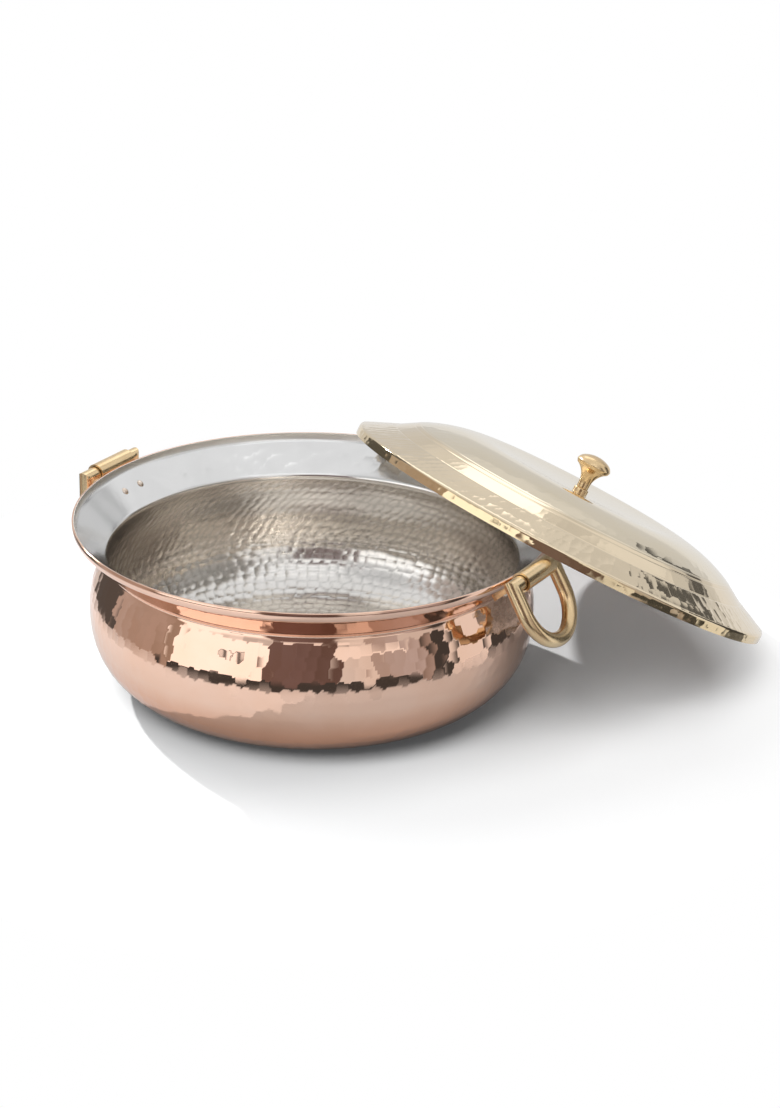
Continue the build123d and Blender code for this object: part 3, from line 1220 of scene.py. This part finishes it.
    def knob(self) -> bpy.types.Object:
        """Make the knob: a trumpet on a narrow neck under a domed cap.

        The dome, the cap's edge and the trumpet are arcs, and the first two run into
        each other.

        Returns:
            The new object.
        """
        dome = tangent_arc((0, self.knob_top), self.knob_shoulder, 0)
        turn = dome[-1] - dome[-2]
        cap = tangent_arc(self.knob_shoulder, self.knob_rim,
                          math.degrees(math.atan2(turn[1], turn[0])))
        flare = tangent_arc(self.knob_neck, self.knob_flare, 90)[::-1]
        foot = [(self.knob_neck[0], self.collar), (0, self.collar)]
        sharp = joined(dome, cap, flare, foot) + (0, self.seat[1])
        outline = spaced(softened(sharp, 0.25), np.full(len(sharp), 0.3))
        rows = turned(outline, 96).carried(self.frame())
        return skin("turned_knob", rows, looped=False)

    def build(self, brass: bpy.types.Material, lining: bpy.types.Material,
              cast: bpy.types.Material, steel: bpy.types.Material) -> None:
        """Make and dress the shell and the knob, and dress the CAD's smaller pieces.

        Args:
            brass: the spun brass, with its lines round the lid's axis.
            lining: the tin inside the lid.
            cast: the knob's and the collar's brass.
            steel: the screw's and the washer's steel.
        """
        settle(self.shell(), brass, Body.LID, "lid_shell")
        settle(self.knob(), cast, Body.LID, "knob")
        settle_copy("lid_lining", lining, Body.LID)
        settle_copy("knob_collar", cast, Body.LID)
        for node in ("knob_screw", "screw_washer"):
            settle_copy(node, steel, Body.LID)


# the studio


@dataclass(frozen=True)
class Panel:
    """One bright or dark part of the surroundings that polished metal shows.

    Attributes:
        turn: its edges in degrees from the camera's side, to the picture's right.
        rise: its lower and upper edge in degrees above the table.
        level: its brightness.
        edge: how wide its edges blur, in degrees.
    """

    turn: Pair
    rise: Pair
    level: float
    edge: float

    def mask(self, wiring: Wiring, course: Any, height: Any) -> bpy.types.NodeSocket:
        """Give the mask that is 1 inside the panel, with blurred edges.

        Args:
            wiring: the tree that the nodes go into.
            course: the socket with the direction in degrees.
            height: the socket with the height in degrees.

        Returns:
            The mask's socket.
        """
        sides = []
        for angle, (low, high), end in ((height, self.rise, 90), (course, self.turn, 180)):
            if low > -end:
                sides.append(wiring.span(angle, low - self.edge / 2, low + self.edge / 2, 0, 1))
            if high < end:
                sides.append(wiring.span(angle, high - self.edge / 2, high + self.edge / 2, 1, 0))
        return reduce(lambda first, second: wiring.sum("MULTIPLY", first, second), sides)


def toward(turn: float, rise: float) -> Vector:
    """Give the unit vector to a place in the surroundings.

    Args:
        turn: its direction in degrees, counted from -Y to +X.
        rise: its height in degrees.

    Returns:
        The vector.
    """
    turn, rise = math.radians(turn), math.radians(rise)
    return Vector((math.sin(turn) * math.cos(rise), -math.cos(turn) * math.cos(rise),
                   math.sin(rise)))


@dataclass(frozen=True)
class Lamp:
    """One round lamp that faces the pot.

    Attributes:
        name: its name.
        turn: its direction in degrees from the camera's side, to the picture's right.
        rise: its height above the table in degrees.
        spread: half the angle that it takes up, in degrees.
        share: the brightness that it gives a white table.
        mirrored: whether polished metal shows it.
    """

    name: str
    turn: float
    rise: float
    spread: float
    share: float
    mirrored: bool = False


GAP, DIM, SHEET = 0.06, 0.66, 1.35
DARK_BROWN: Colour = (0.17, 0.12, 0.11, 1)
WALLS = (
    (-180, DIM), (-146, DIM), (-142, 0.10), (-117, 0.10), (-114, (0.50, 0.45, 0.43, 1)),
    (-98, (0.42, 0.35, 0.31, 1)), (-85, (0.46, 0.38, 0.34, 1)), (-73, (0.35, 0.28, 0.23, 1)),
    (-70, SHEET), (-24, SHEET), (-21, DARK_BROWN), (-6, (0.19, 0.14, 0.14, 1)),
    (13, (0.13, 0.09, 0.08, 1)), (18, 0.70), (31, 0.80), (34, (0.45, 0.41, 0.40, 1)),
    (55, (0.52, 0.50, 0.52, 1)), (63, (0.34, 0.29, 0.27, 1)), (67, GAP), (75, GAP),
    (78, 0.85), (98, 0.85), (101, GAP), (124, GAP), (128, DIM), (180, DIM),
)
PANELS = (
    # Behind the pot: low over the table, and under the table's edge.
    Panel((-180, -158), (22, 36), 0.76, 4), Panel((148, 180), (22, 36), 0.76, 4),
    Panel((-180, -158), (-90, -1.5), 0.80, 1), Panel((127, 180), (-90, -1.5), 0.80, 1),
    # Behind it to the right: three dark marks that the lid shows.
    Panel((134.6, 137.6), (20, 28), 0.11, 0.6), Panel((137, 142), (4.5, 11), 0.11, 0.6),
    Panel((142.5, 146.5), (4.5, 19), 0.11, 0.8),
    # In front: a pale patch, the dark band that the belly shows as a chain of cells, and
    # a small frame in the bright sheet.
    Panel((14, 52), (18, 27), 1.0, 3), Panel((-78, 60), (-24, -12.5), GAP, 1),
    Panel((-42, -35), (11, 19), 0.20, 0.5), Panel((-40.5, -36.5), (12.5, 17), 0.9, 0.5),
    # To the right, over the walls.
    Panel((95, 135), (19, 60), 0.84, 3), Panel((50, 96), (27, 60), 0.66, 4),
    # The ceiling, brighter behind the pot, and in front grey at the left and in bands.
    Panel((-180, 180), (46, 90), 0.84, 4),
    Panel((-180, -158), (36, 60), 1.60, 3), Panel((148, 180), (36, 60), 1.60, 3),
    Panel((-75, -22), (34, 62), 0.60, 6), Panel((-18, 45), (40, 49), 1.30, 2.5),
    Panel((-18, 60), (50, 54), 0.60, 1), Panel((-18, 60), (56, 61), 1.30, 2.5),
)


@dataclass
class Studio:
    """The table, the soft lamps, the surroundings and the camera, in metres and degrees.

    Attributes:
        walls: the surroundings all round: directions, each with a level or a colour.
        panels: what lies over the walls, later ones over earlier ones.
        even: the light that matt surfaces get from all round.
        table_colour: the table's colour as polished metal shows it.
        table_glow: light that the table gets from the room besides that.
        table_white: how bright a white table is.
        table_fade: from where to where the table fades to white for the camera.
        table_gone: from where to where it fades out of the metal's reflections.
        lamps_round: the place that the lamps face.
        lamp_distance: how far they hang from it.
    """

    azimuth: float = 30.5
    elevation: float = 22.91
    distance: float = 1.642
    aim: tuple[float, float, float] = (0.04164, 0.02453, 0.0853)
    roll: float = 1.52
    lens: float = 85.0
    walls: tuple[tuple[float, Any], ...] = WALLS
    panels: tuple[Panel, ...] = PANELS
    even: Colour = (0.13, 0.13, 0.135, 1)
    table_colour: Colour = (0.57, 0.58, 0.595, 1)
    table_glow: float = 0.055
    table_radius: float = 12.0
    table_white: float = 0.95
    table_fade: Pair = (0.255, 0.345)
    table_gone: Pair = (0.24, 0.345)
    lamps_round: tuple[float, float, float] = (0.04, 0.02, 0.0)
    lamp_distance: float = 2.2
    lamps: tuple[Lamp, ...] = (
        Lamp("key_lamp", -137, 32, 0.9, 0.44, mirrored=True),
        Lamp("back_lamp", -130, 52, 12, 0.12),
        Lamp("front_lamp", -28, 48, 18, 0.42),
        Lamp("top_lamp", 60, 80, 25, 0.34),
        Lamp("side_lamp", 112, 32, 12, 0.07),
    )

    def camera(self) -> None:
        """Place the camera at the photograph's angle, rolled as it was."""
        roll = math.radians(self.roll)
        back, right = toward(self.azimuth, self.elevation), toward(self.azimuth + 90, 0)
        tilted = math.cos(roll) * right + math.sin(roll) * back.cross(right)
        matrix = Matrix((tilted, back.cross(tilted), back)).transposed().to_4x4()
        matrix.translation = Vector(self.aim) + self.distance * back
        data = bpy.data.cameras.new("camera")
        data.lens = self.lens
        data.sensor_width = 36
        data.sensor_fit = "AUTO"
        data.clip_end = 60
        camera = placed("camera", data)
        camera.matrix_world = matrix
        bpy.context.scene.camera = camera

    def hang(self, lamp: Lamp) -> None:
        """Hang one lamp, which the camera doesn't see.

        Its power is what gives a white table the lamp's share of full brightness: the
        share times the square of pi times the distance, over the table's white and the
        sine of the height.

        Args:
            lamp: the lamp.
        """
        away = self.lamp_distance
        data = bpy.data.lights.new(lamp.name, "AREA")
        data.shape = "DISK"
        data.size = 2 * away * math.tan(math.radians(lamp.spread))
        data.energy = lamp.share * (math.pi * away) ** 2 / (
            self.table_white * math.sin(math.radians(lamp.rise)))
        direction = toward(self.azimuth + lamp.turn, lamp.rise)
        made = placed(lamp.name, data)
        made.rotation_euler = direction.to_track_quat("Z", "Y").to_euler()
        made.location = Vector(self.lamps_round) + away * direction
        made.visible_camera = False
        made.visible_glossy = lamp.mirrored

    def world(self) -> None:
        """Build the surroundings: white for the camera, a studio for polished metal.

        Metal sees the walls, which change with the compass direction, and the panels
        over them. Matt surfaces get a plain even light.
        """
        world = bpy.data.worlds.new("studio")
        bpy.context.scene.world = world
        wiring = Wiring.of(world)
        ray = wiring.add("ShaderNodeLightPath")
        way = wiring.add("ShaderNodeTexCoord").outputs["Generated"]
        front, right = (wiring.measure("DOT_PRODUCT", way, toward(self.azimuth + quarter, 0))
                        for quarter in (0, 90))
        turn = wiring.sum("ARCTAN2", right, front)
        share = wiring.sum("MULTIPLY_ADD", turn, 1 / (2 * math.pi), 0.5)
        seen = wiring.ramp(share, [((d + 180) / 360, v) for d, v in self.walls])
        course = wiring.sum("DEGREES", turn)
        up = wiring.add("ShaderNodeSeparateXYZ", {0: way}).outputs[2]
        height = wiring.sum("DEGREES", wiring.sum("ARCSINE", up))
        for panel in self.panels:
            seen = wiring.blend(panel.mask(wiring, course, height), seen,
                                (panel.level, panel.level, panel.level, 1))
        light = wiring.blend(ray.outputs["Is Glossy Ray"], self.even, seen)
        light = wiring.blend(ray.outputs["Is Camera Ray"], light, WHITE)
        shader = wiring.add("ShaderNodeBackground", {"Color": light, "Strength": 1.0})
        wiring.add("ShaderNodeOutputWorld", {"Surface": shader.outputs[0]})

    def table(self) -> None:
        """Lay the table just under the pot: rings of quads about a fan of triangles."""
        around, sunk = 96, 0.0003
        rings = np.array([0.25, 0.5, 1.0, 3.0, self.table_radius])
        angle = np.linspace(0, 2 * np.pi, around, endpoint=False)
        grid = rings[:, None, None] * np.stack([np.cos(angle), np.sin(angle)], 1)[None]
        points = np.concatenate([[[0, 0]], grid.reshape(-1, 2)])
        points = np.concatenate([points, np.full((len(points), 1), -sunk)], 1)
        index = 1 + np.arange(len(rings) * around).reshape(-1, around)
        quads = np.stack([index[:-1], index[1:], np.roll(index[1:], -1, 1),
                          np.roll(index[:-1], -1, 1)], 2).reshape(-1, 4)
        fan = np.stack([np.zeros(around, int), index[0], np.roll(index[0], -1)], 1)
        mesh = bpy.data.meshes.new("table")
        mesh.from_pydata(points.tolist(), [], quads.tolist() + fan.tolist())
        table = placed("table", mesh)
        dress(table, self.table_material())

    def table_material(self) -> bpy.types.Material:
        """Build the table's material, which fades to plain white away from the pot.

        Returns:
            The finished material.
        """
        made = bpy.data.materials.new("table_white")
        wiring = Wiring.of(made)
        place = wiring.add("ShaderNodeTexCoord").outputs["Object"]
        out = wiring.measure("LENGTH", place)
        ray = wiring.add("ShaderNodeLightPath")
        camera, glossy = ray.outputs["Is Camera Ray"], ray.outputs["Is Glossy Ray"]

        def mixed(reach: Pair, rays: Any, near: Any, far: Any) -> Any:
            """Fade from one shader to another, for one kind of ray.

            Args:
                reach: from where to where it fades, in metres from the pot's axis.
                rays: the socket that tells the rays.
                near: the shader up to there.
                far: the shader past it.

            Returns:
                The mixed shader.
            """
            share = wiring.sum("MULTIPLY", wiring.span(out, *reach, 0, 1), rays)
            return wiring.add("ShaderNodeMixShader",
                              {0: share, 1: near.outputs[0], 2: far.outputs[0]})

        bare = (self.table_white, self.table_white, self.table_white, 1)
        shade = wiring.blend(glossy, bare, self.table_colour)
        matt = wiring.add("ShaderNodeBsdfDiffuse", {"Color": shade})
        glow = wiring.add("ShaderNodeEmission", {"Color": WHITE, "Strength": self.table_glow})
        near = wiring.add("ShaderNodeAddShader", {0: matt.outputs[0], 1: glow.outputs[0]})
        white = wiring.add("ShaderNodeEmission", {"Color": WHITE, "Strength": 1.0})
        # painted light: from table_fade out the camera sees white emission, which also whitens
        # the far ends of the shadows
        near = mixed(self.table_fade, camera, near, white)
        last = mixed(self.table_gone, glossy, near, wiring.add("ShaderNodeBsdfTransparent"))
        wiring.add("ShaderNodeOutputMaterial", {"Surface": last.outputs[0]})
        return made

    def build(self) -> None:
        """Set up the whole studio."""
        self.camera()
        self.world()
        self.table()
        for lamp in self.lamps:
            self.hang(lamp)
        bpy.context.scene.view_settings.view_transform = "Standard"


# the finishes


COPPER = MetalFinish(
    "hammered_copper", (0.93, 0.64, 0.50, 1), (0.91, 0.60, 0.45, 1), 0.03, 0.06,
    grain_depth=0.000002,
    zones=(Zone(Way.UP, 0.085, 0.089, (0.93, 0.63, 0.49, 1), 0.09),
           # painted light: the deeper orange towards the base stands in for copper light bounced
           # back off the table
           Zone(Way.UP, 0.040, 0.018, (0.89, 0.45, 0.28, 1), 0.06)))
TIN = MetalFinish(
    "wiped_tin", (0.90, 0.88, 0.86, 1), (0.85, 0.83, 0.80, 1), 0.20, 0.26, 0.0005, 0.000006,
    zones=(Zone(Way.UP, 0.020, 0.042, (0.86, 0.80, 0.72, 1), 0.20),
           Zone(Way.UP, 0.085, 0.088, (0.86, 0.86, 0.86, 1), 0.18),
           Zone(Way.UP, 0.1050, 0.1065, (0.84, 0.81, 0.76, 1), 0.45)),
    joint_shade=0.22)
LINING = MetalFinish("lid_tin", (0.80, 0.79, 0.77, 1), (0.70, 0.69, 0.67, 1), 0.24, 0.32,
                     0.0006, 0.000006)
LID_BRASS = MetalFinish(
    "lid_brass", (0.89, 0.79, 0.62, 1), (0.88, 0.77, 0.58, 1), 0.09, 0.13, 0.0007, 0.000004,
    grain_depth=0.000002,
    zones=(Zone(Way.OUT, 0.098, 0.108, (0.89, 0.79, 0.62, 1), 0.06),
           Zone(Way.OUT, 0.112, 0.114, (0.90, 0.76, 0.56, 1), 0.07),
           Zone(Way.UP, 0.006, 0.005, (0.90, 0.72, 0.46, 1), 0.10)))
CAST_BRASS = MetalFinish("cast_brass", (0.89, 0.69, 0.42, 1), (0.80, 0.58, 0.33, 1), 0.20, 0.28,
                         grain_depth=0.000003, stain_size=40.0)
STEEL = MetalFinish("screw_steel", (0.62, 0.61, 0.58, 1), (0.48, 0.46, 0.43, 1), 0.2, 0.35)
RIVET = MetalFinish("rivet_copper", (0.86, 0.76, 0.66, 1), (0.70, 0.55, 0.44, 1), 0.15, 0.3,
                    stain_size=300.0)


# putting it together


def main() -> None:
    """Build the studio and the pot, piece by piece, and report each one."""
    logging.basicConfig(level=logging.INFO, format="%(name)s: %(message)s")
    Studio().build()
    groups = {"turned_lines": turned_lines_group(), "handling": handling_group()}
    vessel, lid = Vessel(), Lid()
    copper, tin, cast, steel, rivet = (
        finish.material(groups) for finish in (COPPER, TIN, CAST_BRASS, STEEL, RIVET))
    brass, lining = (finish.material(groups, lid.axis()) for finish in (LID_BRASS, LINING))
    vessel.build(copper, tin)
    for side, swing in RING_SWINGS.items():
        RingHandle(side, swing).build(cast, rivet)
    lid.build(brass, lining, cast, steel)


if __name__ == "__main__":
    main()
